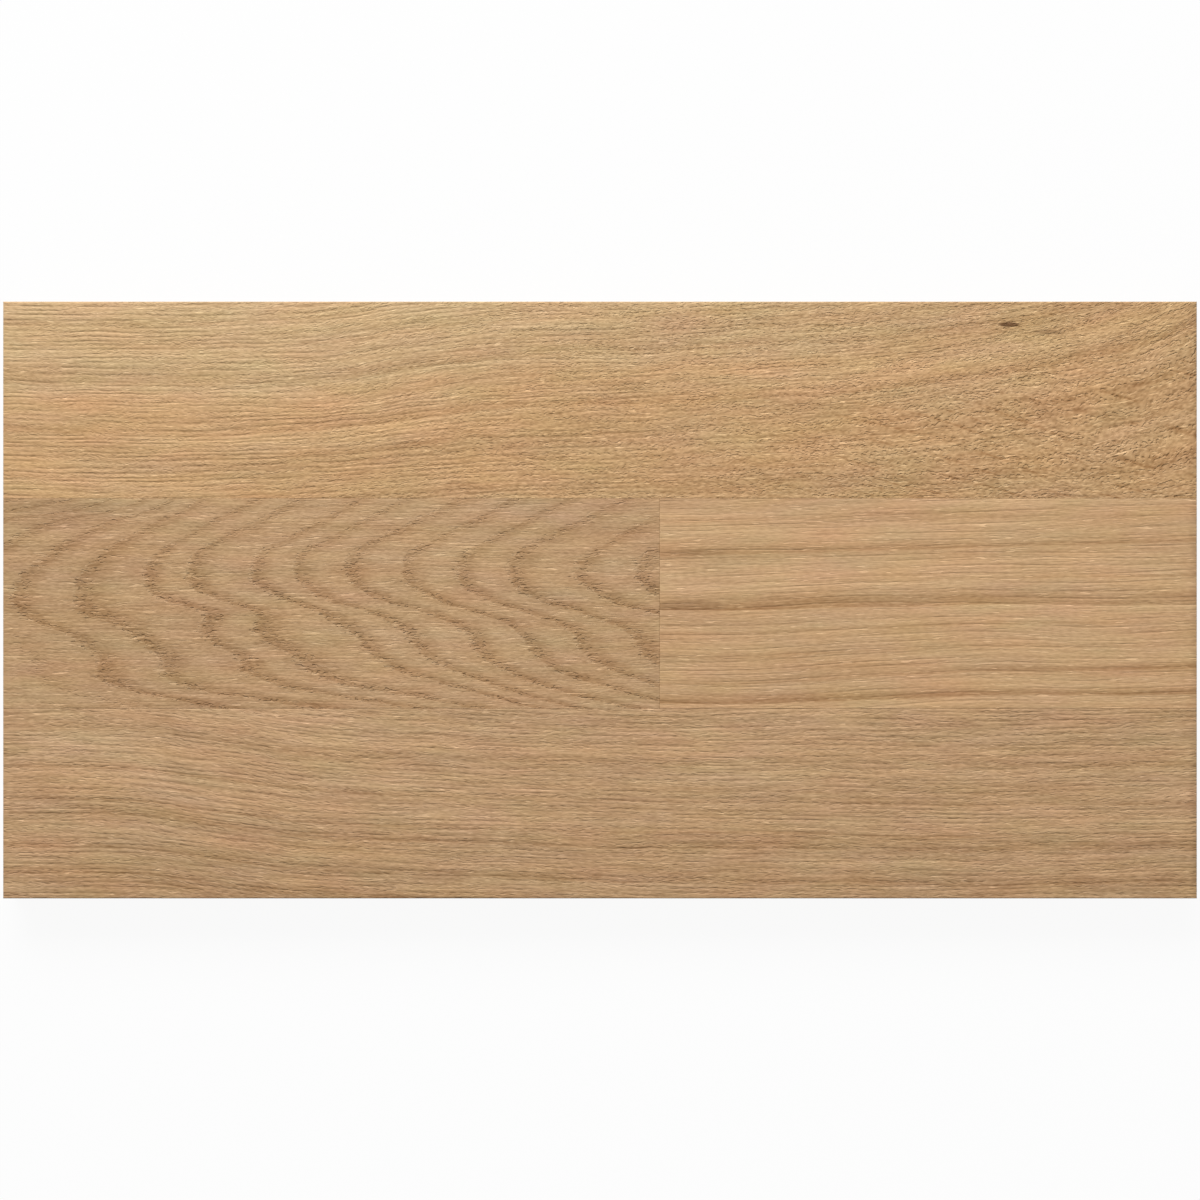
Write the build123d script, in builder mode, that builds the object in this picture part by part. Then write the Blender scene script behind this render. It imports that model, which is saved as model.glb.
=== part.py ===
from build123d import *
import os

# Three-strip engineered oak parquet plank, in the short cut length that its face shows.
# Oak strips lie along the plank on a core of cross-laid spruce slats, over a spruce backing veneer.
# A groove for a loose tongue is milled into the core along all four edges.
# X runs along the grain, Y across the strips and Z up out of the oak face.
# The origin is the middle of the underside, and all sizes are in millimetres.

# Face: three rows of strips, of which the middle row has one end joint
plank_length = 400.0
back_strip_width = 66.0
middle_strip_width = 70.4
front_strip_width = 63.6
middle_left_length = 220.0

# Layers, from the top down
oak_thickness = 3.5
core_thickness = 9.5
backing_thickness = 2.0

# Core slats: the pitch sets how many there are, and they share the plank's length evenly
slat_nominal_pitch = 25.0
slat_gap = 0.8

# Edge profile: the groove, and the lower lip that stands back so that the faces close first
groove_height = 5.0
groove_depth = 7.0
groove_lower_cheek = 2.4
groove_lead_in = 0.6
lower_lip_set_back = 0.5
eased_arris = 0.3

# Places that follow from the sizes
plank_width = back_strip_width + middle_strip_width + front_strip_width
left_end, right_end = -plank_length / 2, plank_length / 2
front_edge, back_edge = -plank_width / 2, plank_width / 2
front_joint = front_edge + front_strip_width
back_joint = front_joint + middle_strip_width
middle_joint = left_end + middle_left_length

core_bottom = backing_thickness
core_top = core_bottom + core_thickness
groove_bottom = core_bottom + groove_lower_cheek
groove_top = groove_bottom + groove_height

slat_count = round((plank_length + slat_gap) / slat_nominal_pitch)
slat_pitch = (plank_length + slat_gap) / slat_count
slat_width = slat_pitch - slat_gap


def on_outline(edge):
    """True for an edge that lies on the plank's outline, and not on a joint between two strips."""
    middle = edge.center()
    to_outline = min(abs(abs(middle.X) - right_end), abs(abs(middle.Y) - back_edge))
    return to_outline < eased_arris / 2


def oak_strip(name, left, right, front, back):
    """One oak strip of the face, with its top edge eased where it is the plank's own edge."""
    with BuildPart() as strip:
        with BuildSketch(Plane.XY.offset(core_top)):
            with Locations(((left + right) / 2, (front + back) / 2)):
                Rectangle(right - left, back - front)
        extrude(amount=oak_thickness)
        top_edges = strip.edges().group_by(Axis.Z)[-1]
        chamfer(top_edges.filter_by(on_outline), eased_arris)
    strip.part.label = name
    return strip.part


def core_outline(half_size):
    """Half of the core's section, from its middle out to a grooved edge and back under it."""
    lip_edge = half_size - lower_lip_set_back
    return [
        (0, core_top),
        (half_size, core_top),
        (half_size, groove_top + groove_lead_in),
        (half_size - groove_lead_in, groove_top),
        (half_size - groove_depth, groove_top),
        (half_size - groove_depth, groove_bottom),
        (lip_edge - groove_lead_in, groove_bottom),
        (lip_edge, groove_bottom - groove_lead_in),
        (lip_edge, core_bottom),
        (0, core_bottom),
    ]


def core_section(plane, half_size):
    """The core's whole section on a plane, grooved at both edges."""
    with BuildSketch(plane) as section:
        with BuildLine():
            Polyline(core_outline(half_size))
            mirror(about=Plane.YZ)
        make_face()
    return section.sketch


def core_slat(name, left):
    """One spruce slat across the plank, milled with the groove wherever an edge cuts it."""
    with BuildPart() as slat:
        extrude(core_section(Plane.YZ.offset(left), back_edge), amount=slat_width)
        extrude(core_section(Plane.XZ.offset(front_edge), right_end), amount=plank_width, mode=Mode.INTERSECT)
    slat.part.label = name
    return slat.part


def backing_veneer(name):
    """The spruce sheet under the core, standing back with the lower lip of the groove."""
    with BuildPart() as veneer:
        with BuildSketch():
            Rectangle(plank_length - 2 * lower_lip_set_back, plank_width - 2 * lower_lip_set_back)
        extrude(amount=backing_thickness)
    veneer.part.label = name
    return veneer.part


pieces = [
    oak_strip("oak_strip_back", left_end, right_end, back_joint, back_edge),
    oak_strip("oak_strip_middle_left", left_end, middle_joint, front_joint, back_joint),
    oak_strip("oak_strip_middle_right", middle_joint, right_end, front_joint, back_joint),
    oak_strip("oak_strip_front", left_end, right_end, front_edge, front_joint),
    backing_veneer("backing_veneer"),
]
for number in range(slat_count):
    pieces.append(core_slat(f"core_slat_{number + 1:02d}", left_end + number * slat_pitch))

os.makedirs("parts", exist_ok=True)
for piece in pieces:
    export_step(piece, f"parts/{piece.label}.step")
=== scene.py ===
from collections import namedtuple
from collections.abc import Callable
from dataclasses import dataclass
import bmesh
import bpy
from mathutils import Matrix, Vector


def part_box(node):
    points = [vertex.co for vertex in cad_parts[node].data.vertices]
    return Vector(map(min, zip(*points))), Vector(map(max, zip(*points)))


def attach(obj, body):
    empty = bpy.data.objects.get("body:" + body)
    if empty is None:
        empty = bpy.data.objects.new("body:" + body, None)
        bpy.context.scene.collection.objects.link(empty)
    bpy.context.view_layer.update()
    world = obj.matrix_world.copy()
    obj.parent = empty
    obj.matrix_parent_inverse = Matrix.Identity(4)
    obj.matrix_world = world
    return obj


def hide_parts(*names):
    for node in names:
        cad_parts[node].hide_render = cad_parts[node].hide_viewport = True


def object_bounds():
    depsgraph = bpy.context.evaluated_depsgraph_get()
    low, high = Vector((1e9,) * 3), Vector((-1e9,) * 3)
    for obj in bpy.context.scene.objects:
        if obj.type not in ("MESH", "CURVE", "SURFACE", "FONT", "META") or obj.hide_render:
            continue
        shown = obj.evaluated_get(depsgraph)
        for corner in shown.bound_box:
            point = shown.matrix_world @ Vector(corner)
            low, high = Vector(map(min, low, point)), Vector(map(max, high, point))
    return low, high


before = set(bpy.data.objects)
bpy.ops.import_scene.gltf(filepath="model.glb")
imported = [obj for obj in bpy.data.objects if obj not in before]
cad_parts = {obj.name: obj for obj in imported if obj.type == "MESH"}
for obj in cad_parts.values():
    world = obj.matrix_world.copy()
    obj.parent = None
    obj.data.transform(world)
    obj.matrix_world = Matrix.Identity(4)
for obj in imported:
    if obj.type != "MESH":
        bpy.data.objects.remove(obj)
cad_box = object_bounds()

# Grain is worked out in millimetres in the plank's own frame: X along it, Y across its strips and Z up.
# Meshes are in metres.
METRE = 1000.0
MILLIMETRE = 0.001

# Face as pictured: the plank's length in pixels sets the camera's distance and the grain's scale
PICTURE_PIXELS = 1200.0
PLANK_PIXELS = 1194.0
MIDDLE_COLUMN, MIDDLE_ROW = 600.0, 599.5
PIXEL = (cad_box[1].x - cad_box[0].x) * METRE / PLANK_PIXELS

# Curve from a colour as it is seen to the linear values that a finish takes
FULL_CHANNEL = 255.0
CURVE_START = 0.055
CURVE_POWER = 2.4


def column(pixel):
    """Place along the plank of a column of the picture."""
    return (pixel - MIDDLE_COLUMN) * PIXEL


def row(pixel):
    """Place across the plank of a row of the picture."""
    return (MIDDLE_ROW - pixel) * PIXEL


def srgb(red, green, blue):
    """Linear values of a colour that is given as it is seen, from 0 to 255 a channel."""
    shares = [channel / FULL_CHANNEL for channel in (red, green, blue)]
    return (*[((share + CURVE_START) / (1.0 + CURVE_START)) ** CURVE_POWER for share in shares], 1.0)


# Number fields

def plug(tree, socket, value):
    """Joins a field or another node's socket to a socket, or sets the socket to a plain value."""
    if isinstance(value, Field):
        value = value.socket
    if isinstance(value, bpy.types.NodeSocket):
        tree.links.new(value, socket)
    else:
        socket.default_value = value


def new_node(tree, kind, inputs, **settings):
    """A new node with its settings made and its inputs, by name or by number, plugged."""
    node = tree.nodes.new(kind)
    for name, setting in settings.items():
        setattr(node, name, setting)
    for name, value in inputs.items():
        plug(tree, node.inputs[name], value)
    return node


class Field:
    """A number that varies over the wood, worked out by nodes of a shape's or a finish's tree."""

    def __init__(self, tree, socket):
        self.tree = tree
        self.socket = socket

    def math(self, operation, *others):
        inputs = dict(enumerate((self, *others)))
        node = new_node(self.tree, "ShaderNodeMath", inputs, operation=operation)
        return Field(self.tree, node.outputs[0])

    def __add__(self, other):
        return self.math("ADD", other)

    def __sub__(self, other):
        return self.math("SUBTRACT", other)

    def __mul__(self, other):
        return self.math("MULTIPLY", other)

    def __truediv__(self, other):
        return self.math("DIVIDE", other)

    def scaled(self, factor, start):
        return self.math("MULTIPLY_ADD", factor, start)

    def mapped(self, way, low, high, first, last):
        inputs = {"Value": self, "From Min": low, "From Max": high, "To Min": first, "To Max": last}
        node = new_node(self.tree, "ShaderNodeMapRange", inputs, interpolation_type=way)
        return Field(self.tree, node.outputs[0])

    def ramp(self, low, high, first=0.0, last=1.0):
        """A straight run from first at low to last at high, flat beyond them."""
        return self.mapped("LINEAR", low, high, first, last)

    def rise(self, low, high, first=0.0, last=1.0):
        """A smooth step from first at low to last at high. With high below low it runs the other way."""
        if high < low:
            return self.mapped("SMOOTHSTEP", high, low, last, first)
        return self.mapped("SMOOTHSTEP", low, high, first, last)

    def curve(self, points):
        """A smooth curve through (place, value) points, unclipped so that shape and finish agree."""
        places = [place for place, value in points]
        values = [value for place, value in points]
        low, high = min(values), max(values)
        reach = places[-1] - places[0]
        shares = [((place - places[0]) / reach, (value - low) / (high - low)) for place, value in points]
        node = new_node(self.tree, "ShaderNodeFloatCurve", {"Value": self.ramp(places[0], places[-1])})
        node.mapping.use_clip = False
        line = node.mapping.curves[0]
        line.points[0].location = shares[0]
        line.points[1].location = shares[-1]
        for share in shares[1:-1]:
            line.points.new(*share)
        node.mapping.update()
        return Field(self.tree, node.outputs[0]).scaled(high - low, low)

    def blend(self, first, second):
        """first where this field is 0 and second where it is 1."""
        return (second - first) * self + first

    def chances(self):
        """Random outputs from 0 to 1, Value and Color, that stay the same where this field does."""
        return new_node(self.tree, "ShaderNodeTexWhiteNoise", {"W": self}, noise_dimensions="1D").outputs


def gathered(operation, fields):
    """One field from several, taken together one after another."""
    total = fields[0]
    for field in fields[1:]:
        total = total.math(operation, field)
    return total


def joined(tree, parts):
    """One place from its three parts."""
    return new_node(tree, "ShaderNodeCombineXYZ", dict(enumerate(parts))).outputs[0]


def parted(tree, place):
    """The three parts of a place, as fields."""
    return [Field(tree, part) for part in new_node(tree, "ShaderNodeSeparateXYZ", {0: place}).outputs]


def parted_in_millimetres(tree, place):
    return [part * METRE for part in parted(tree, place)]


# Wood: how far apart in the noise two seeds lie
SEED_STEP = (7.3, 3.1, 5.7)

# Combed lines: how far a lane wanders, in lanes, and over which length and how many lanes
LANE_SWAY = 1.2
SWAY_LENGTH, SWAY_LANES = 90.0, 5.0
# Where in its lane a line may lie: the margin before it and the room that it has, in lanes
LANE_MARGIN, LANE_ROOM = 0.35, 0.3
# How far a lane's pieces lie from the next lane's in the noise, and the noise over which one fades in
LANE_STEP = (3.7, 1.9)
PIECE_FADE = (-0.4, 0.35)
PIECE_DRAW = 0.5
# Regions of stronger and of weaker lines
REGION_SIZE = (60.0, 9.0)
REGION_FADE = (-0.4, 0.3, 0.8, 1.0)
REGION_DRAW = 0.7

# Flecks: the noise over which one fades in, and the loose rows of them, in flecks' lengths and widths
FLECK_FADE = (0.0, 0.5)
ROW_LENGTHS, ROW_WIDTHS = 14.0, 2.4
ROW_FADE = (-0.3, 0.3, 0.2, 1.0)
ROW_DRAW = 0.4

# Lens: the share of it, measured from its middle and squared, that is full
LENS_FULL = 0.3


class Wood:
    """A point in a piece of wood, in millimetres along its grain, across it and up through it."""

    def __init__(self, along, across, height):
        self.tree = along.tree
        self.along, self.across, self.height = along, across, height
        self.place = joined(self.tree, (along, across, height))

    def patches(self, length, width, seed, detail):
        """Outputs of a noise drawn out along the grain: length and width are the size of one patch."""
        scale = (1.0 / length, 1.0 / width, 1.0 / width)
        start = [seed * step for step in SEED_STEP]
        inputs = {0: self.place, 1: scale, 2: start}
        place = new_node(self.tree, "ShaderNodeVectorMath", inputs, operation="MULTIPLY_ADD").outputs[0]
        inputs = {"Scale": 1.0, "Detail": detail, "Vector": place}
        return new_node(self.tree, "ShaderNodeTexNoise", inputs).outputs

    def noise(self, length, width, seed, detail=1.0):
        """Noise from -1 to 1."""
        return Field(self.tree, self.patches(length, width, seed, detail)[0]).scaled(2.0, -1.0)

    def hues(self, length, width, seed, amount):
        """Patches of slightly differing hue, as a colour near white to multiply by."""
        inputs = {
            0: self.patches(length, width, seed, 1.0)["Color"],
            1: (amount,) * 3,
            2: (1.0 - amount / 2,) * 3,
        }
        return new_node(self.tree, "ShaderNodeVectorMath", inputs, operation="MULTIPLY_ADD").outputs[0]

    def lines(self, pitch, piece, half_width, seed):
        """Combed lines, 1 along the middle of each: one to a lane, which comes and goes by pieces."""
        sway = self.noise(SWAY_LENGTH, pitch * SWAY_LANES, seed, 0.0) * LANE_SWAY
        count = self.across / pitch + sway
        number = count.math("FLOOR")
        chance = Field(self.tree, (number + seed).chances()["Value"])
        middle = chance.scaled(LANE_ROOM, LANE_MARGIN)
        line = (count - number - middle).math("ABSOLUTE").rise(half_width / pitch, 0.0)
        lane = Wood(self.along, *[number * step for step in LANE_STEP])
        pieces = lane.noise(piece, 1.0, seed + PIECE_DRAW)
        region = self.noise(*REGION_SIZE, seed + REGION_DRAW, 0.0)
        return line * pieces.rise(*PIECE_FADE) * region.rise(*REGION_FADE)

    def flecks(self, length, width, seed):
        """Short marks scattered along the grain in loose rows, 1 in the middle of each."""
        rows = self.noise(length * ROW_LENGTHS, width * ROW_WIDTHS, seed + ROW_DRAW, 0.0)
        return self.noise(length, width, seed, 0.0).rise(*FLECK_FADE) * rows.rise(*ROW_FADE)

    def lens(self, along, across, half_length, half_width):
        """1 inside a lens at a place, fading out to its edge."""
        run = (self.along - along) / half_length
        rise = (self.across - across) / half_width
        return (run * run + rise * rise).rise(1.0, LENS_FULL)


# Lean of the grain: each strip's place across the grain once its lines are laid straight

# Climb of the back strip's grain to the right, as (place along, climb). Lines behind CLIMB_BEHIND take
# all of it, and those before CLIMB_BEFORE only a share, so that the grain fans out at the right end.
BACK_CLIMB = [(-200, 0), (-107, 0), (-60, 4.7), (-27, 8), (67, 12.7), (117, 17), (167, 26), (200, 37)]
CLIMB_BEFORE, CLIMB_BEHIND = 29.0, 55.0
CLIMB_SHARE = 0.3
FAN_BLEND = 6.0

# How far the front strip's grain has sunk at places along it
FRONT_SINK = [(-200, 0), (-170, 0.4), (-134, 3.4), (-90, 8), (-33, 10.7), (67, 12.7), (200, 12)]

# Where the middle right strip's grain starts and ends its climb, and how far it climbs
RIGHT_CLIMB_ENDS = (25.0, 170.0)
RIGHT_CLIMB = 3.3


def back_lean(along, across):
    climb = along.curve(BACK_CLIMB)
    gain = (1.0 - CLIMB_SHARE) / (CLIMB_BEHIND - CLIMB_BEFORE)
    behind = across - climb
    before = across - climb * CLIMB_SHARE
    between = (across - climb * (CLIMB_SHARE - gain * CLIMB_BEFORE)) / climb.scaled(gain, 1.0)
    return before.math("SMOOTH_MIN", between, FAN_BLEND).math("SMOOTH_MAX", behind, FAN_BLEND)


def front_lean(along, across):
    """The front strip's grain sinks to the right over its left half."""
    return across + along.curve(FRONT_SINK)


def right_lean(along, across):
    """The middle right strip's grain climbs a little."""
    return across - along.rise(*RIGHT_CLIMB_ENDS) * RIGHT_CLIMB


def level_lean(along, across):
    return across


# Growth rings: how much of the dark, porous earlywood shows, from 0 to 1

# Cathedral of the middle left strip: how far each ring trails behind its own tip, as (pixels from the
# strip's back edge, pixels behind the tip)
ARCH_AT_LEFT = [
    (0, 260), (15, 165), (22, 106), (37, 68), (58, 28), (76, 9), (100, 0), (115, 8), (126, 33),
    (136, 55), (147, 69), (157, 84), (176, 85), (184, 96), (192, 114), (200, 150), (210, 185),
]
ARCH_AT_RIGHT = [
    (0, 110), (22, 68), (40, 34), (54, 8), (70, 0), (84, 4), (102, 33), (114, 72),
    (126, 106), (138, 121), (152, 128), (166, 147), (182, 184), (210, 285),
]
# Columns over which the left arch turns into the right one, in the strip's back part and in its front
# part, and how far from the strip's back edge the one part goes over into the other
ARCH_TURNS_BEHIND = (60, 230)
ARCH_TURNS_BEFORE = (140, 480)
FRONT_PART = (36.0, 46.0)
RING_TIPS = [
    -310, -245, -180, -115, -50, 15, 76, 143, 187, 252, 295, 347, 402, 456, 510, 579, 638, 700,
]

# Edge of a ring, in rings: its start, and how far it is frayed along the fibres and wanders, each with
# the length, width and seed of its noise
RING_START = 0.06
FRAY, FRAY_REACH = (4.0, 0.6, 11.0), 0.16
WANDER, WANDER_REACH = (14.0, 7.0, 12.0), 0.12
# Rings are faint in the front part of the first few, and stronger towards the front
FAINT_PART = (34.0, 44.0)
FAINT_RINGS = (5.0, 4.5)
FAINT_LOSS = 0.7
RING_STRENGTH = (10.0, 32.0, 0.7, 1.1)
# Phase of a ring over which its shade comes in and fades out, its latewood darkens and its pores end
SHADE_IN, SHADE_OUT = (0.0, 0.1), (0.64, 0.14)
LATEWOOD, LATEWOOD_SHADE = (0.6, 1.0), 0.25
PORES_OUT = (0.36, 0.16)

# Growth lines of straight grain, in pixels: the row at the strip's left end, how far it climbs beyond
# the lean of the grain, its strength at the strip's two ends, and the reach of its shade
Ring = namedtuple("Ring", "row climb left right reach")
BACK_RINGS = (
    Ring(320, 0, 0.3, 0.3, 7), Ring(344, 0, 0.5, 0.4, 9), Ring(381, 0, 0.5, 0.5, 14),
    Ring(430, 0, 0.7, 0.5, 12), Ring(456, 0, 0.3, 0.3, 9), Ring(476, 0, 0.3, 0.3, 8),
)
RIGHT_RINGS = (
    Ring(521, 2, 0.4, 0.2, 6), Ring(555, 2, 0.65, 0.8, 12), Ring(584, -2, 0.1, 0.5, 5),
    Ring(609, -4, 1.3, 0.9, 16), Ring(634, 4, 0.4, 0.4, 5), Ring(658, 4, 0.3, 0.4, 6),
    Ring(685, 8, 0.4, 0.8, 8), Ring(692, 0, 0.0, 0.5, 4), Ring(704, 0, 1.0, 1.0, 12),
)
FRONT_RINGS = (
    Ring(728, 0, 0.3, 0.3, 8), Ring(766, 0, 0.7, 0.5, 8), Ring(797, 0, 0.9, 0.4, 3),
    Ring(812, 0, 0.5, 0.6, 14), Ring(846, 0, 0.5, 0.5, 10), Ring(872, 0, 0.5, 0.6, 12),
)
# Front side of a growth line, over which it comes in, and the patches over which its strength varies
LINE_IN = (-0.5, 0.1)
LINE_PATCH = (70.0, 9.0)
LINE_UNEVEN, LINE_STRENGTH = 0.5, 0.9

# Rays of the back strip: their slope across the grain, their lines' pitch, piece, half width and seed,
# where they come in along the strip and towards its front, and their strength
RAY_SLOPE = 0.26
RAY_LINES = (3.4, 11.0, 0.45, 15.0)
RAYS_ALONG = (20.0, 110.0)
RAYS_ACROSS = (58.0, 46.0)
RAY_STRENGTH = 1.1


def cathedral_growth(wood, strip):
    """Nested arches: each ring has a frayed edge set with pores, and behind it a fading shade."""
    down = wood.across.scaled(-1.0, strip.back)
    left, right = [
        down.curve([(place * PIXEL, lag * PIXEL) for place, lag in arch])
        for arch in (ARCH_AT_LEFT, ARCH_AT_RIGHT)
    ]
    behind, before = [
        wood.along.rise(*[column(pixel) for pixel in columns])
        for columns in (ARCH_TURNS_BEHIND, ARCH_TURNS_BEFORE)
    ]
    turn = down.rise(*FRONT_PART).blend(behind, before)
    tip = wood.along - turn.blend(left, right)
    count = tip.curve([(column(pixel), number) for number, pixel in enumerate(RING_TIPS)])
    frayed = count + RING_START + wood.noise(*FRAY) * FRAY_REACH + wood.noise(*WANDER) * WANDER_REACH
    phase = frayed.math("FRACT")
    faint = down.rise(*FAINT_PART) * count.rise(*FAINT_RINGS)
    seen = faint.scaled(-FAINT_LOSS, 1.0) * down.rise(*RING_STRENGTH)
    shade = phase.rise(*SHADE_OUT) * phase.rise(*SHADE_IN) + phase.rise(*LATEWOOD) * LATEWOOD_SHADE
    return shade * seen, phase.rise(*PORES_OUT) * seen


def line_growth(wood, strip):
    """Straight grain: a sharp line for each ring, with its shade on the side of the back edge."""
    lines = []
    for ring in strip.rings:
        climb = strip.from_end_to_end(wood, 0.0, ring.climb * PIXEL)
        off = wood.across - row(ring.row) - climb
        line = off.rise(*LINE_IN) * off.rise(ring.reach * PIXEL, 0.0)
        lines.append(line * strip.from_end_to_end(wood, ring.left, ring.right))
    uneven = wood.noise(*LINE_PATCH, strip.seed + RING_DRAW).scaled(LINE_UNEVEN, LINE_STRENGTH)
    return gathered("ADD", lines) * uneven


def straight_growth(wood, strip):
    lines = line_growth(wood, strip)
    return lines, lines


def back_growth(wood, strip):
    """Growth lines, and thin rays that cross them downwards in the right front part."""
    lines = line_growth(wood, strip)
    crossing = Wood(wood.along, wood.across + wood.along * RAY_SLOPE, wood.height).lines(*RAY_LINES)
    seen = wood.along.rise(*RAYS_ALONG) * wood.across.rise(*RAYS_ACROSS)
    return lines + crossing * seen * RAY_STRENGTH, lines


# Warmth of the colour, from straw yellow at 0 to tan at 1

EVEN_WARMTH = 0.5
# Back strip: where straw yellow comes in across it and ends along it, how far it lowers the warmth,
# and the warmth of the rest
STRAW_ACROSS = (66.0, 74.0)
STRAW_ALONG = (150.0, 60.0)
STRAW_LOSS, TAN_WARMTH = 0.8, 0.75


def back_warmth(wood):
    """Straw yellow in the back half, tan in the front half and at the right end."""
    straw = wood.across.rise(*STRAW_ACROSS) * wood.along.rise(*STRAW_ALONG)
    return straw.scaled(-STRAW_LOSS, TAN_WARMTH)


def even_warmth(wood):
    return EVEN_WARMTH


# What a strip's grain is made of. Lengths, widths and depths are in millimetres. Combed lines and flecks
# are as strong as left and right say at the strip's two ends, and stronger by early in the porous edge
# of a ring. A mark is a pin knot at full strength, and a soft shade in the wood at less.
Streaks = namedtuple("Streaks", "length width tone depth")
Lines = namedtuple("Lines", "pitch piece half_width left right early tone depth")
Flecks = namedtuple("Flecks", "length width left right early tone depth")
Mark = namedtuple("Mark", "column row half_length half_width strength")
Shade = namedtuple("Shade", "left right front back")
NO_SHADE = Shade(0.0, 0.0, 0.0, 0.0)

# Each noise of a strip has a draw of its own, counted on from the strip's seed
BROAD_WAVE_DRAW, SMALL_WAVE_DRAW, COMB_DRAW, THREAD_DRAW, BAND_DRAW = 0.0, 1.0, 2.0, 3.0, 4.0
LINE_DRAW, FLECK_DRAW, WARMTH_DRAW, RING_DRAW, HUE_DRAW, SLIVER_DRAW = 5.0, 6.0, 7.0, 8.0, 9.0, 10.0

# Waves that bend the grain of all strips, and the broad bands of their tone
BROAD_WAVE, BROAD_WAVE_HEIGHT = (55.0, 40.0), 1.2
SMALL_WAVE = (14.0, 9.0)
BAND_SIZE, BAND_DETAIL = (150.0, 5.0), 2.0

# Grain of the face is read at one depth, so that the relief doesn't shift it
STILL_DEPTH = 0.4
# Share of the combed lines' depth that is cut into the mesh: the finish adds the rest as bump
RELIEF_SHARE = 0.5


@dataclass
class OakStrip:
    """One strip of the face: its place, and what sets its grain and colour apart."""

    node: str
    seed: float
    lean: Callable
    growth: Callable
    warmth: Callable
    dark: tuple
    light: tuple
    early_tone: float
    early_depth: float
    band_tone: float
    wave: float
    comb: Streaks
    threads: Streaks
    lines: Lines
    flecks: Flecks
    rings: tuple = ()
    marks: tuple = ()
    shade: Shade = NO_SHADE
    thread_gain: float = 1.0

    def __post_init__(self):
        low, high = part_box(self.node)
        self.left, self.front, self.underside = [value * METRE for value in low]
        self.right, self.back, self.top = [value * METRE for value in high]

    def wood(self, along, across, height):
        """The wood at a place of this strip, with its grain laid straight."""
        plain = Wood(along, across, height)
        broad = plain.noise(*BROAD_WAVE, self.seed + BROAD_WAVE_DRAW, 0.0) * BROAD_WAVE_HEIGHT
        small = plain.noise(*SMALL_WAVE, self.seed + SMALL_WAVE_DRAW, 0.0) * self.wave
        return Wood(along, self.lean(along, across) + (broad + small), height)

    def from_end_to_end(self, wood, left, right):
        return wood.along.ramp(self.left, self.right, left, right)

    def shaded(self, wood):
        """Broad tone, from end to end and from edge to edge."""
        across = wood.across.ramp(self.front, self.back, self.shade.front, self.shade.back)
        return self.from_end_to_end(wood, self.shade.left, self.shade.right) + across

    def combed(self, wood):
        return wood.noise(self.comb.length, self.comb.width, self.seed + COMB_DRAW)

    def threaded(self, wood):
        threads = wood.noise(self.threads.length, self.threads.width, self.seed + THREAD_DRAW, 0.0)
        return threads * self.from_end_to_end(wood, 1.0, self.thread_gain)

    def banded(self, wood):
        return wood.noise(*BAND_SIZE, self.seed + BAND_DRAW, BAND_DETAIL)

    def strength(self, wood, porous, kind):
        return self.from_end_to_end(wood, kind.left, kind.right) + porous * kind.early

    def lined(self, wood, porous):
        kind = self.lines
        lines = wood.lines(kind.pitch, kind.piece, kind.half_width, self.seed + LINE_DRAW)
        return lines * self.strength(wood, porous, kind)

    def flecked(self, wood, porous):
        kind = self.flecks
        flecks = wood.flecks(kind.length, kind.width, self.seed + FLECK_DRAW)
        return flecks * self.strength(wood, porous, kind)

    def marked(self, plain):
        """Pin knots and soft shades, 1 in the middle of a mark at full strength."""
        lenses = []
        for mark in self.marks:
            place = (column(mark.column), row(mark.row), mark.half_length, mark.half_width)
            lenses.append(plain.lens(*place) * mark.strength)
        return gathered("ADD", lenses)

    def relief(self, wood):
        """How far the brushed face lies under the strip's top, in millimetres."""
        shade, porous = self.growth(wood, self)
        ridges = self.combed(wood).scaled(-self.comb.depth, self.comb.depth)
        grooves = self.lined(wood, porous) * self.lines.depth * RELIEF_SHARE
        return shade * self.early_depth + grooves + ridges


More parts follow.
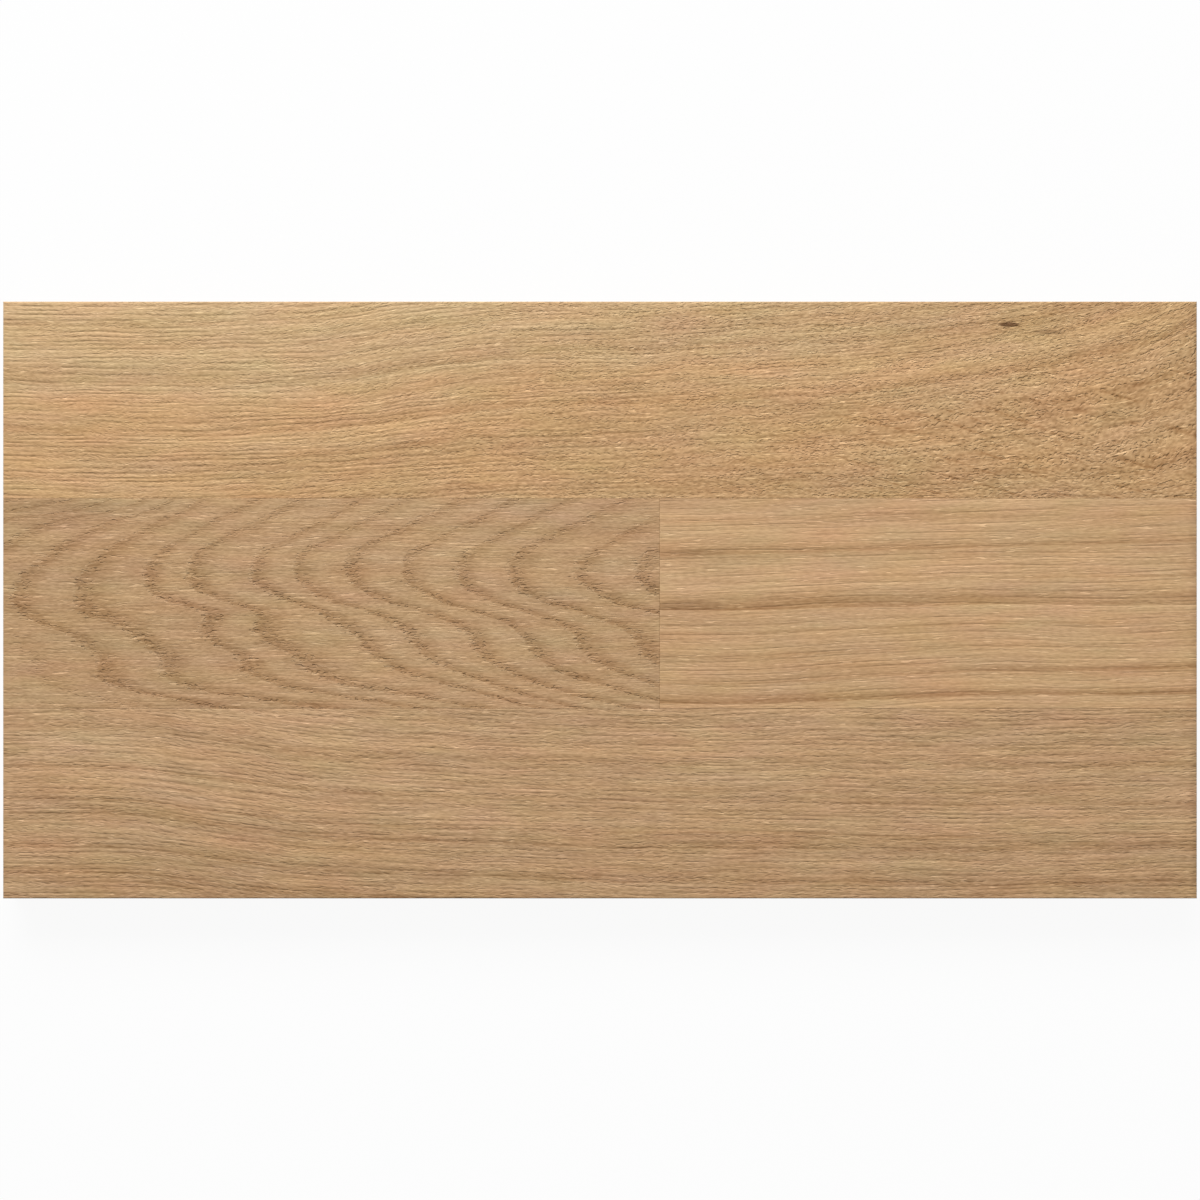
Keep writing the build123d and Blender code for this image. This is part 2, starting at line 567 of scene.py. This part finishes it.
STRIPS = [
    OakStrip(
        "oak_strip_back", 21.0, back_lean, back_growth, back_warmth,
        dark=(148, 109, 67), light=(216, 177, 130),
        early_tone=0.28, early_depth=0.04, band_tone=0.32, wave=0.6,
        comb=Streaks(14.0, 0.8, 0.24, 0.04),
        threads=Streaks(1.4, 0.55, 0.26, 0.035),
        lines=Lines(1.65, 9.0, 0.62, 0.82, 0.35, 0.0, 0.12, 0.22),
        flecks=Flecks(1.1, 0.42, 0.4, 1.4, 0.0, 0.04, 0.20),
        rings=BACK_RINGS,
        marks=(Mark(1009, 324, 4.4, 0.95, 1.0), Mark(1050, 331.5, 6.5, 1.0, 0.45)),
        shade=Shade(0.03, -0.05, -0.03, 0.05),
        thread_gain=1.8,
    ),
    OakStrip(
        "oak_strip_middle_left", 22.0, level_lean, cathedral_growth, even_warmth,
        dark=(146, 111, 73), light=(203, 166, 125),
        early_tone=0.30, early_depth=0.06, band_tone=0.28, wave=0.3,
        comb=Streaks(9.0, 0.7, 0.28, 0.03),
        threads=Streaks(1.5, 0.52, 0.29, 0.04),
        lines=Lines(1.45, 4.0, 0.44, 0.5, 0.5, 0.0, 0.10, 0.13),
        flecks=Flecks(1.3, 0.50, 0.15, 0.15, 1.2, 0.02, 0.24),
        marks=(Mark(40, 512, 32.0, 6.5, 0.16),),
    ),
    OakStrip(
        "oak_strip_middle_right", 23.0, right_lean, straight_growth, even_warmth,
        dark=(158, 120, 80), light=(213, 174, 130),
        early_tone=0.48, early_depth=0.05, band_tone=0.42, wave=0.15,
        comb=Streaks(34.0, 0.95, 0.24, 0.03),
        threads=Streaks(2.0, 0.55, 0.27, 0.03),
        lines=Lines(2.4, 34.0, 0.46, 0.8, 0.8, 0.2, 0.13, 0.13),
        flecks=Flecks(7.0, 0.50, 0.6, 0.6, 0.2, 0.10, 0.08),
        rings=RIGHT_RINGS,
        marks=(Mark(690, 606, 14.0, 2.6, 0.25), Mark(695, 552, 12.0, 1.3, 0.2)),
    ),
    OakStrip(
        "oak_strip_front", 24.0, front_lean, straight_growth, even_warmth,
        dark=(144, 108, 70), light=(203, 165, 124),
        early_tone=0.38, early_depth=0.05, band_tone=0.34, wave=0.3,
        comb=Streaks(13.0, 0.9, 0.42, 0.04),
        threads=Streaks(1.7, 0.55, 0.31, 0.035),
        lines=Lines(1.7, 11.0, 0.60, 0.8, 0.8, 0.1, 0.12, 0.165),
        flecks=Flecks(2.2, 0.52, 0.7, 0.7, 0.3, 0.08, 0.17),
        rings=FRONT_RINGS,
        shade=Shade(0.0, 0.0, -0.05, 0.05),
    ),
]


# Finishes

# Mid tone of the grain between its dark and its light colour, and the tints of straw yellow and tan wood
MID_TONE = 0.68
STRAW_TINT = (1.0, 1.055, 1.10, 1.0)
TAN_TINT = (1.0, 0.96, 0.92, 1.0)
KNOT = (112, 78, 44)

# Patches of warmth and how far they and the rings sway it, and patches of hue
WARMTH_PATCH, WARMTH_SWAY = (45.0, 7.0), 0.6
RING_WARMTH = 0.4
HUE_PATCH, HUE_SWAY = (24.0, 6.0), 0.12

# Bright slivers between the combed lines: painted highlight where the lower walls of grooves catch the
# light, also sunk a little as bump
SLIVER_SIZE = (5.0, 0.5)
SLIVER_FADE = (0.36, 0.54)
SLIVER_HIGHLIGHT = 0.5
SLIVER_DEPTH = 0.08

# Roughness and shine of oiled oak and of bare spruce
OAK_SURFACE = (0.6, 0.3)
SPRUCE_SURFACE = (0.75, 0.25)

# Numbers of the colour sockets of a mix node, which share their names with its other sockets
FIRST_COLOUR, SECOND_COLOUR, MIXED_COLOUR = 6, 7, 2


def mixed(tree, way, factor, first, second):
    """A colour from two: factor, and each colour, is a field, a socket or a plain value."""
    inputs = {"Factor": factor, FIRST_COLOUR: first, SECOND_COLOUR: second}
    settings = {"data_type": "RGBA", "blend_type": way, "clamp_factor": False}
    return new_node(tree, "ShaderNodeMix", inputs, **settings).outputs[MIXED_COLOUR]


def new_finish(name, roughness, shine):
    """A new finish, its tree and the place in it, in millimetres."""
    finish = bpy.data.materials.new(name)
    finish.use_nodes = True
    tree = finish.node_tree
    shader = tree.nodes["Principled BSDF"]
    shader.inputs["Roughness"].default_value = roughness
    shader.inputs["Specular IOR Level"].default_value = shine
    place = parted_in_millimetres(tree, tree.nodes.new("ShaderNodeTexCoord").outputs["Object"])
    return finish, tree, place


def coat(tree, colour, raised):
    """Gives a finish its colour and, as bump, how far its finest grain is raised, in millimetres."""
    shader = tree.nodes["Principled BSDF"]
    bump = new_node(tree, "ShaderNodeBump", {"Distance": MILLIMETRE, "Height": raised})
    plug(tree, shader.inputs["Base Color"], colour)
    plug(tree, shader.inputs["Normal"], bump.outputs["Normal"])


def oak_finish(strip):
    """Brushed and oiled oak: tone from rings, fibres and pores, with painted highlight on bright
    slivers, and pores and finest fibres as bump.
    """
    finish, tree, (along, across, height) = new_finish("oiled_" + strip.node, *OAK_SURFACE)
    wood = strip.wood(along, across, height.math("MINIMUM", strip.top - STILL_DEPTH))

    shade, porous = strip.growth(wood, strip)
    threads = strip.threaded(wood)
    lines = strip.lined(wood, porous)
    flecks = strip.flecked(wood, porous)
    slivers = wood.noise(*SLIVER_SIZE, strip.seed + SLIVER_DRAW, 0.0).rise(*SLIVER_FADE)
    tone = strip.shaded(wood) + strip.banded(wood) * strip.band_tone
    tone = tone - shade * strip.early_tone + MID_TONE
    tone = tone + strip.combed(wood) * strip.comb.tone + threads * strip.threads.tone
    # Slivers lighten the tone: painted highlight on the lit lower walls of grooves
    tone = tone - lines * strip.lines.tone - flecks * strip.flecks.tone + slivers * SLIVER_HIGHLIGHT
    sunk = lines * (strip.lines.depth * (1.0 - RELIEF_SHARE)) + flecks * strip.flecks.depth
    sunk = sunk + slivers * SLIVER_DEPTH

    warmth = wood.noise(*WARMTH_PATCH, strip.seed + WARMTH_DRAW) * WARMTH_SWAY
    warmth = warmth + shade * RING_WARMTH + strip.warmth(wood)
    tint = mixed(tree, "MIX", warmth, STRAW_TINT, TAN_TINT)
    hues = wood.hues(*HUE_PATCH, strip.seed + HUE_DRAW, HUE_SWAY)
    colour = mixed(tree, "MIX", tone, srgb(*strip.dark), srgb(*strip.light))
    colour = mixed(tree, "MULTIPLY", 1.0, colour, tint)
    colour = mixed(tree, "MULTIPLY", 1.0, colour, hues)
    if strip.marks:
        colour = mixed(tree, "MIX", strip.marked(Wood(along, across, height)), colour, srgb(*KNOT))
    coat(tree, colour, threads * strip.threads.depth - sunk)
    return finish


# Oak face as relief

# Size of the grid's cells, and how far the face's edges fall away at the plank's outline and at joints
CELL_ALONG = 1.5
CELL_ACROSS = 0.22
ARRIS = 0.3
JOINT_EASE = 0.02

# A new grid's half width, the share of the strip's width that counts as its edge, how many mesh faces
# meet at an edge of the rim and the reach of that comparison, and the reach of the weld
GRID_HALF = 0.5
EDGE_SHARE = 1e-4
RIM_FACES, RIM_REACH = 1.0, 0.5
WELD_REACH = 1e-6

# A mesh face that looks up by more than this belongs to the brushed face and is shaded smooth
LOOKS_UP = 0.5

STRIP_COUNTS = ["Columns", "Rows"]
STRIP_SIZES = [
    "Left", "Right", "Front", "Back", "Underside", "Top",
    "Left Ease", "Right Ease", "Front Ease", "Back Ease", *STRIP_COUNTS,
]


def set_position(tree, points, place):
    """Moves points, a mesh or a selection of it, to a place given by three fields in millimetres."""
    inputs = {**points, "Position": joined(tree, [part * MILLIMETRE for part in place])}
    return new_node(tree, "GeometryNodeSetPosition", inputs).outputs["Geometry"]


def face_place(tree, size, strip):
    """Where a point of the grid comes to lie on the strip's brushed face."""
    spot = tree.nodes.new("GeometryNodeInputPosition").outputs[0]
    share_x, share_y = [part + GRID_HALF for part in parted(tree, spot)[:2]]
    length = size["Right"] - size["Left"]
    cell = length / (size["Columns"] - 1.0)
    half_cell, next_cell = cell * 0.5, cell * 1.5
    from_left = share_x * length
    from_right = length - from_left

    # Second column from each end moves out until the last cell is as wide as the arris
    second_left, second_right = [
        off.math("GREATER_THAN", half_cell) * off.math("LESS_THAN", next_cell)
        for off in (from_left, from_right)
    ]
    narrowed = cell - ARRIS
    along = size["Left"] + from_left - second_left * narrowed + second_right * narrowed
    across = size["Front"] + share_y * (size["Back"] - size["Front"])

    drop = gathered("MAXIMUM", [
        from_left.math("LESS_THAN", half_cell) * size["Left Ease"],
        from_right.math("LESS_THAN", half_cell) * size["Right Ease"],
        share_y.math("LESS_THAN", EDGE_SHARE) * size["Front Ease"],
        share_y.math("GREATER_THAN", 1.0 - EDGE_SHARE) * size["Back Ease"],
    ])
    wood = strip.wood(along, across, size["Top"] - STILL_DEPTH)
    return along, across, size["Top"] - drop - strip.relief(wood)


def closed_below(tree, face, underside):
    """Walls from the rim of a face down to its underside, and a bottom that closes them."""
    sides = tree.nodes.new("GeometryNodeInputMeshEdgeNeighbors")
    rim = Field(tree, sides.outputs["Face Count"]).math("COMPARE", RIM_FACES, RIM_REACH)
    inputs = {"Mesh": face, "Selection": rim, "Offset Scale": 0.0}
    walls = new_node(tree, "GeometryNodeExtrudeMesh", inputs, mode="EDGES")
    foot = walls.outputs["Top"]
    x, y, z = parted_in_millimetres(tree, tree.nodes.new("GeometryNodeInputPosition").outputs[0])
    points = {"Geometry": walls.outputs["Mesh"], "Selection": foot}
    body = set_position(tree, points, (x, y, underside))

    loop = new_node(tree, "GeometryNodeMeshToCurve", {"Mesh": body, "Selection": foot})
    bottom = new_node(tree, "GeometryNodeFillCurve", {"Curve": loop.outputs["Curve"]}, mode="NGONS")
    join = new_node(tree, "GeometryNodeJoinGeometry", {"Geometry": bottom.outputs["Mesh"]})
    tree.links.new(body, join.inputs["Geometry"])
    inputs = {"Geometry": join.outputs["Geometry"], "Distance": WELD_REACH}
    return new_node(tree, "GeometryNodeMergeByDistance", inputs).outputs["Geometry"]


def strip_tree(strip, finish):
    """Geometry nodes of one oak strip: a fine grid sunk along rings and fibres, closed below."""
    tree = bpy.data.node_groups.new(strip.node, "GeometryNodeTree")
    tree.interface.new_socket("Strip", in_out="OUTPUT", socket_type="NodeSocketGeometry")
    for name in STRIP_SIZES:
        kind = "NodeSocketInt" if name in STRIP_COUNTS else "NodeSocketFloat"
        tree.interface.new_socket(name, in_out="INPUT", socket_type=kind)
    entry = tree.nodes.new("NodeGroupInput")
    size = {name: Field(tree, entry.outputs[name]) for name in STRIP_SIZES}

    inputs = {"Vertices X": size["Columns"], "Vertices Y": size["Rows"]}
    grid = new_node(tree, "GeometryNodeMeshGrid", inputs)
    face = set_position(tree, {"Geometry": grid.outputs["Mesh"]}, face_place(tree, size, strip))
    body = closed_below(tree, face, size["Underside"])
    real = new_node(tree, "GeometryNodeRealizeInstances", {"Geometry": body})
    inputs = {"Geometry": real.outputs["Geometry"], "Material": finish}
    dressed = new_node(tree, "GeometryNodeSetMaterial", inputs)
    new_node(tree, "NodeGroupOutput", {0: dressed.outputs["Geometry"]})
    return tree


def plain_mesh(name, tree, sizes):
    """Runs a tree once and keeps what it makes as a plain mesh, with its normals outwards."""
    maker = bpy.data.objects.new(name + "_maker", bpy.data.meshes.new(name + "_maker"))
    bpy.context.scene.collection.objects.link(maker)
    modifier = maker.modifiers.new("nodes", "NODES")
    modifier.node_group = tree
    for item in tree.interface.items_tree:
        if item.in_out == "INPUT":
            modifier[item.identifier] = sizes[item.name]
    evaluated = maker.evaluated_get(bpy.context.evaluated_depsgraph_get())
    mesh = bpy.data.meshes.new_from_object(evaluated)
    bpy.data.objects.remove(maker)
    work = bmesh.new()
    work.from_mesh(mesh)
    bmesh.ops.recalc_face_normals(work, faces=work.faces)
    for face in work.faces:
        face.smooth = face.normal.z > LOOKS_UP
    work.to_mesh(mesh)
    work.free()
    mesh.name = name
    return mesh


def edge_ease(edge, ends):
    """How far a strip's edge falls away: more where it is the plank's own edge than at a joint."""
    return ARRIS if min(abs(edge - end * METRE) for end in ends) < ARRIS else JOINT_EASE


def oak_strip(strip):
    """The relief piece that stands for one oak strip of the frame."""
    ends = (cad_box[0].x, cad_box[1].x)
    edges = (cad_box[0].y, cad_box[1].y)
    sizes = {
        "Left": strip.left, "Right": strip.right, "Front": strip.front, "Back": strip.back,
        "Underside": strip.underside, "Top": strip.top,
        "Left Ease": edge_ease(strip.left, ends), "Right Ease": edge_ease(strip.right, ends),
        "Front Ease": edge_ease(strip.front, edges), "Back Ease": edge_ease(strip.back, edges),
        "Columns": round((strip.right - strip.left) / CELL_ALONG) + 1,
        "Rows": round((strip.back - strip.front) / CELL_ACROSS) + 1,
    }
    mesh = plain_mesh(strip.node + "_face", strip_tree(strip, oak_finish(strip)), sizes)
    piece = bpy.data.objects.new(strip.node + "_face", mesh)
    bpy.context.scene.collection.objects.link(piece)
    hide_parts(strip.node)
    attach(piece, "root")


for strip in STRIPS:
    oak_strip(strip)


# Spruce under the face

SPRUCE_EARLY = (228, 200, 155)
SPRUCE_LATE = (188, 143, 92)

# Slats: the width of a ring, where the slats start and how far apart they lie, and the room for the
# middle of each one's log, to its sides and from LOG_DEPTH under the plank's underside
SLAT_RING = 2.6
SLAT_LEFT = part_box("core_slat_01")[0].x * METRE
SLAT_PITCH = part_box("core_slat_02")[0].x * METRE - SLAT_LEFT
LOG_ROOM = 50.0
LOG_DEPTH = 8.0

# How far rings wander, in rings, with the length, width and seed of the noise, and the veneer's ring
SLAT_WANDER, SLAT_WANDER_REACH = (120.0, 10.0, 33.0), 0.5
VENEER_WANDER, VENEER_WANDER_REACH = (190.0, 26.0, 34.0), 4.0
VENEER_RING = 24.0

# Phase of a ring over which its latewood comes in and ends, and the length, width and seed of fibres
# and of blotches
LATE_IN, LATE_OUT = (0.4, 0.93), (1.0, 0.96)
FIBRES = (14.0, 0.3, 31.0)
BLOTCHES = (60.0, 9.0, 32.0)

# Share of the late colour in the latewood and in plain wood, and how far fibres and blotches sway it
LATE_TONE, PLAIN_TONE = 0.75, 0.12
FIBRE_TONE, BLOTCH_TONE = 0.2, 0.2
LATE_HEIGHT, FIBRE_HEIGHT = 0.03, 0.04


def slat_rings(x, y, z):
    """Rings of the slats, which lie across the plank: each is sawn from another place in its log."""
    wood = Wood(y, x, z)
    number = ((x - SLAT_LEFT) / SLAT_PITCH).math("FLOOR")
    side, depth, start = parted(wood.tree, number.chances()["Color"])
    middle = number.scaled(SLAT_PITCH, SLAT_LEFT + SLAT_PITCH / 2)
    run = x - middle - side.scaled(LOG_ROOM, -LOG_ROOM / 2)
    rise = z + depth.scaled(LOG_ROOM, LOG_DEPTH)
    radius = (run * run + rise * rise).math("SQRT")
    return wood, radius / SLAT_RING + start + wood.noise(*SLAT_WANDER) * SLAT_WANDER_REACH


def veneer_rings(x, y, z):
    """Rings of the backing, which was peeled off its log: wide bands that wander along the plank."""
    wood = Wood(x, y, z)
    return wood, wood.noise(*VENEER_WANDER) * VENEER_WANDER_REACH + y / VENEER_RING


def spruce_finish(name, rings):
    """Bare spruce: pale earlywood that darkens into each ring's thin latewood line, over fine fibres."""
    finish, tree, place = new_finish(name, *SPRUCE_SURFACE)
    wood, count = rings(*place)
    phase = count.math("FRACT")
    late = phase.rise(*LATE_IN) * phase.rise(*LATE_OUT)
    fibres = wood.noise(*FIBRES)
    tone = late * LATE_TONE - fibres * FIBRE_TONE - wood.noise(*BLOTCHES) * BLOTCH_TONE + PLAIN_TONE
    colour = mixed(tree, "MIX", tone, srgb(*SPRUCE_EARLY), srgb(*SPRUCE_LATE))
    coat(tree, colour, late * LATE_HEIGHT + fibres * FIBRE_HEIGHT)
    return finish


sawn_spruce = spruce_finish("sawn_spruce", slat_rings)
peeled_spruce = spruce_finish("peeled_spruce", veneer_rings)
for name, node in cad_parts.items():
    if name.startswith("core_slat"):
        node.material_slots[0].material = sawn_spruce
    elif name == "backing_veneer":
        node.material_slots[0].material = peeled_spruce


# Studio, in metres: a white floor that looks evenly lit, a window behind the plank and a pale room

FLOOR_REACH = 4.0
FLOOR_CORNERS = [(-1, -1), (1, -1), (1, 1), (-1, 1)]
PAPER = (0.8, 0.8, 0.8, 1.0)
PAPER_GLOW = 0.93
RAYS_THAT_SEE_GLOW = ["Is Camera Ray", "Is Glossy Ray", "Is Transmission Ray"]
WINDOW_PLACE = (-0.45, 1.9, 1.4)
WINDOW_WIDTH, WINDOW_HEIGHT = 1.6, 1.1
WINDOW_WATTS = 70.0
ROOM_LIGHT = 0.33
LENS_MILLIMETRES, SENSOR_MILLIMETRES = 85.0, 36.0


def studio_floor():
    """White paper that takes light and shadow, seen with most of a glow of its own."""
    corners = [(x * FLOOR_REACH, y * FLOOR_REACH, 0) for x, y in FLOOR_CORNERS]
    mesh = bpy.data.meshes.new("studio_floor")
    mesh.from_pydata(corners, [], [tuple(range(len(corners)))])
    floor = bpy.data.objects.new("studio_floor", mesh)
    bpy.context.scene.collection.objects.link(floor)
    paper = bpy.data.materials.new("white_paper")
    paper.use_nodes = True
    mesh.materials.append(paper)
    tree = paper.node_tree
    shader = tree.nodes["Principled BSDF"]
    shader.inputs["Base Color"].default_value = PAPER
    shader.inputs["Roughness"].default_value = 1.0
    shader.inputs["Specular IOR Level"].default_value = 0.0
    path = tree.nodes.new("ShaderNodeLightPath")
    glow = tree.nodes.new("ShaderNodeEmission")
    seen = gathered("MAXIMUM", [Field(tree, path.outputs[ray]) for ray in RAYS_THAT_SEE_GLOW])
    inputs = {0: seen * PAPER_GLOW, 1: shader.outputs[0], 2: glow.outputs[0]}
    mix = new_node(tree, "ShaderNodeMixShader", inputs)
    tree.links.new(mix.outputs[0], tree.nodes["Material Output"].inputs["Surface"])


def studio_window():
    lamp = bpy.data.lights.new("window", "AREA")
    lamp.shape = "RECTANGLE"
    lamp.size, lamp.size_y = WINDOW_WIDTH, WINDOW_HEIGHT
    lamp.energy = WINDOW_WATTS
    light = bpy.data.objects.new("window", lamp)
    light.location = WINDOW_PLACE
    light.rotation_euler = (-Vector(WINDOW_PLACE)).to_track_quat("-Z", "Y").to_euler()
    bpy.context.scene.collection.objects.link(light)


def studio_room():
    """Light from all around, which the camera sees as plain white."""
    world = bpy.data.worlds.new("studio")
    world.use_nodes = True
    tree = world.node_tree
    background = tree.nodes["Background"]
    background.inputs["Color"].default_value = (1.0, 1.0, 1.0, 1.0)
    seen = Field(tree, tree.nodes.new("ShaderNodeLightPath").outputs["Is Camera Ray"])
    plug(tree, background.inputs["Strength"], seen.scaled(1.0 - ROOM_LIGHT, ROOM_LIGHT))
    bpy.context.scene.world = world


def studio_camera():
    """Looks straight down from where the face fills the picture as it does in the photograph."""
    data = bpy.data.cameras.new("camera")
    data.lens = LENS_MILLIMETRES
    data.sensor_width = SENSOR_MILLIMETRES
    camera = bpy.data.objects.new("camera", data)
    span = PICTURE_PIXELS * PIXEL * MILLIMETRE
    camera.location = (0.0, 0.0, cad_box[1].z + span * data.lens / data.sensor_width)
    bpy.context.scene.collection.objects.link(camera)
    bpy.context.scene.camera = camera


studio_floor()
studio_window()
studio_room()
studio_camera()
bpy.context.scene.view_settings.view_transform = "Standard"
